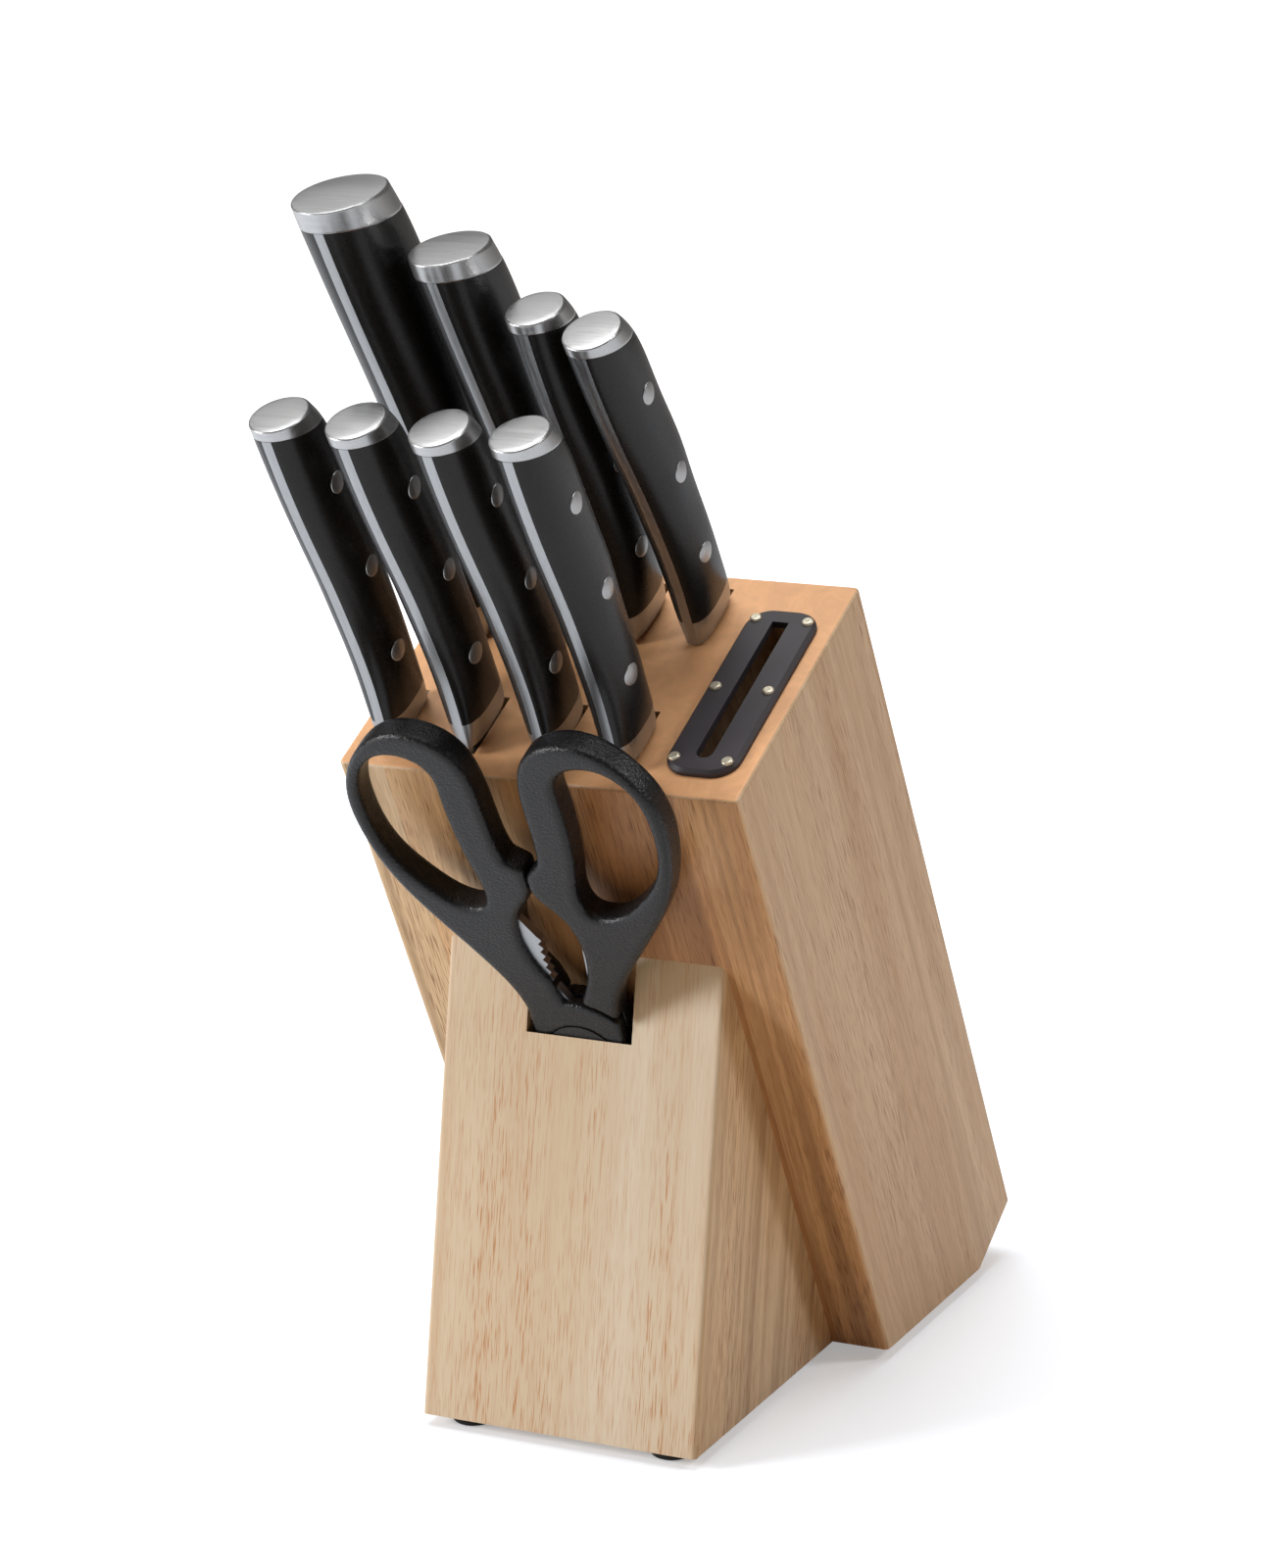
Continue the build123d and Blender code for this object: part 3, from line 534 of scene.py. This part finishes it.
def softened(node):
    """A moulded node's own shape with its edges well rounded."""
    blank = bpy.data.objects.new(node + "_blank", nodes[node].data.copy())
    bpy.context.scene.collection.objects.link(blank)
    remesh = blank.modifiers.new("remesh", "REMESH")
    remesh.mode = "VOXEL"
    remesh.voxel_size = GRIP_VOXEL
    smooth = blank.modifiers.new("smooth", "SMOOTH")
    smooth.factor = 0.5
    smooth.iterations = GRIP_ROUNDS
    swell = blank.modifiers.new("swell", "DISPLACE")
    swell.strength = GRIP_SWELL
    swell.mid_level = 0.0
    bpy.context.view_layer.update()
    mesh = bpy.data.meshes.new_from_object(blank.evaluated_get(bpy.context.evaluated_depsgraph_get()))
    bpy.data.objects.remove(blank)
    return mesh


for side in ("left", "right"):
    node = f"shears_{side}_grip"
    add_piece(node + "_round", softened(node), grip_black, "shears_" + side, node)

# ---- Floor: white in the picture, dimmer and warm for the light that it gives back ----
FLOOR_SIZE = 30.0
FLOOR_TONES = ((0.77, 0.83, 0.91), (0.79, 0.85, 0.93))
FLOOR_BOUNCE = (0.80, 0.60, 0.40)
FLOOR_GLOW = (0.20, 0.75, 0.34, 1.0)     # the glow grows from 0.34 at 0.20 m to 1 at 0.75 m
FLOOR_IN_MIRRORS = 0.30                  # share of the glow that reflections show


def floor_material():
    s = Shader("floor")
    rays = s.add("ShaderNodeLightPath")
    tone = s.mix(s.noise(s.coords(), 3.0), *FLOOR_TONES)
    s.set("Base Color", s.mix(rays.outputs["Is Diffuse Ray"], tone, FLOOR_BOUNCE))
    s.set("Roughness", 0.9)
    s.set("Specular IOR Level", 0.1)
    away = s.add("ShaderNodeVectorMath", operation="LENGTH")
    s.link(s.coords(), away.inputs[0])
    glow = s.ramp(away.outputs["Value"], *FLOOR_GLOW)
    mirrored = s.math("MULTIPLY", rays.outputs["Is Glossy Ray"], FLOOR_IN_MIRRORS)
    seen = s.math("MAXIMUM", rays.outputs["Is Camera Ray"], mirrored)
    s.set("Emission Color", (1.0, 1.0, 1.0, 1.0))
    s.set("Emission Strength", s.math("MULTIPLY", seen, glow))
    return s.mat


bpy.ops.mesh.primitive_plane_add(size=FLOOR_SIZE, location=(0, 0, 0))
floor = bpy.context.object
floor.name = "floor"
floor.data.materials.append(floor_material())

# ---- World: white in the picture, dim and warm as a light ----
WORLD_WHITE = (1.0, 1.0, 1.0, 1.0)
WORLD_WARM = (1.0, 0.62, 0.34, 1.0)
WORLD_DIM = 0.10

scene = bpy.context.scene
world = bpy.data.worlds.new("studio")
world.use_nodes = True
links = world.node_tree.links
sky = world.node_tree.nodes["Background"]
rays = world.node_tree.nodes.new("ShaderNodeLightPath")
warm = world.node_tree.nodes.new("ShaderNodeMix")
warm.data_type = "RGBA"
warm.inputs[6].default_value = WORLD_WHITE
warm.inputs[7].default_value = WORLD_WARM
links.new(rays.outputs["Is Diffuse Ray"], warm.inputs[0])
links.new(warm.outputs[2], sky.inputs[0])
strength = world.node_tree.nodes.new("ShaderNodeMapRange")
strength.inputs["To Min"].default_value = WORLD_DIM
strength.inputs["To Max"].default_value = 1.0
links.new(rays.outputs["Is Camera Ray"], strength.inputs["Value"])
links.new(strength.outputs[0], sky.inputs[1])
scene.world = world
scene.view_settings.view_transform = "Standard"
scene.view_settings.look = "None"

# ---- Lights: name, place, the point it looks at, side of the square, watts ----
LIGHTS = (
    ("key", (-1.15, -0.95, 0.65), (0, 0, 0.12), 0.5, 21.0),
    ("top", (-0.1, -0.1, 1.6), (0, 0, 0.1), 1.0, 17.5),
    ("rear", (-0.6, 0.40, 1.45), (0, 0, 0.3), 1.5, 4.6),
    ("side", (1.2, 0.24, 1.08), (0, 0, 0.12), 0.3, 6.2),
)
for name, place, target, side, power in LIGHTS:
    data = bpy.data.lights.new(name, "AREA")
    data.shape = "SQUARE"
    data.size = side
    data.energy = power
    lamp = bpy.data.objects.new(name, data)
    scene.collection.objects.link(lamp)
    lamp.location = place
    lamp.rotation_euler = (Vector(target) - Vector(place)).to_track_quat("-Z", "Y").to_euler()

# ---- Camera: it stands where the object was seen from, to the right and a little above ----
CAMERA_X, CAMERA_Y, CAMERA_Z = 0.495273, -1.011939, 0.450765    # from the block's front lower edge
CAMERA_TURNS = (26.678, 15.041, -1.605)      # azimuth, elevation and roll, degrees
CAMERA_LENS = 104.13
CAMERA_SENSOR = 36.0

azimuth, elevation, roll = (math.radians(v) for v in CAMERA_TURNS)
level = math.cos(elevation)
right = Vector((math.cos(azimuth), math.sin(azimuth), 0))
back = Vector((math.sin(azimuth) * level, -math.cos(azimuth) * level, math.sin(elevation)))
up = back.cross(right)
rolled_right = math.cos(roll) * right + math.sin(roll) * up
rolled_up = -math.sin(roll) * right + math.cos(roll) * up
turned = Matrix((rolled_right, rolled_up, back)).transposed().to_4x4()
camera_data = bpy.data.cameras.new("camera")
camera_data.sensor_width = CAMERA_SENSOR
camera_data.lens = CAMERA_LENS
camera = bpy.data.objects.new("camera", camera_data)
camera.matrix_world = Matrix.Translation((CAMERA_X, CAMERA_Y + BLOCK_Y, CAMERA_Z + FOOT_H)) @ turned
scene.collection.objects.link(camera)
scene.camera = camera
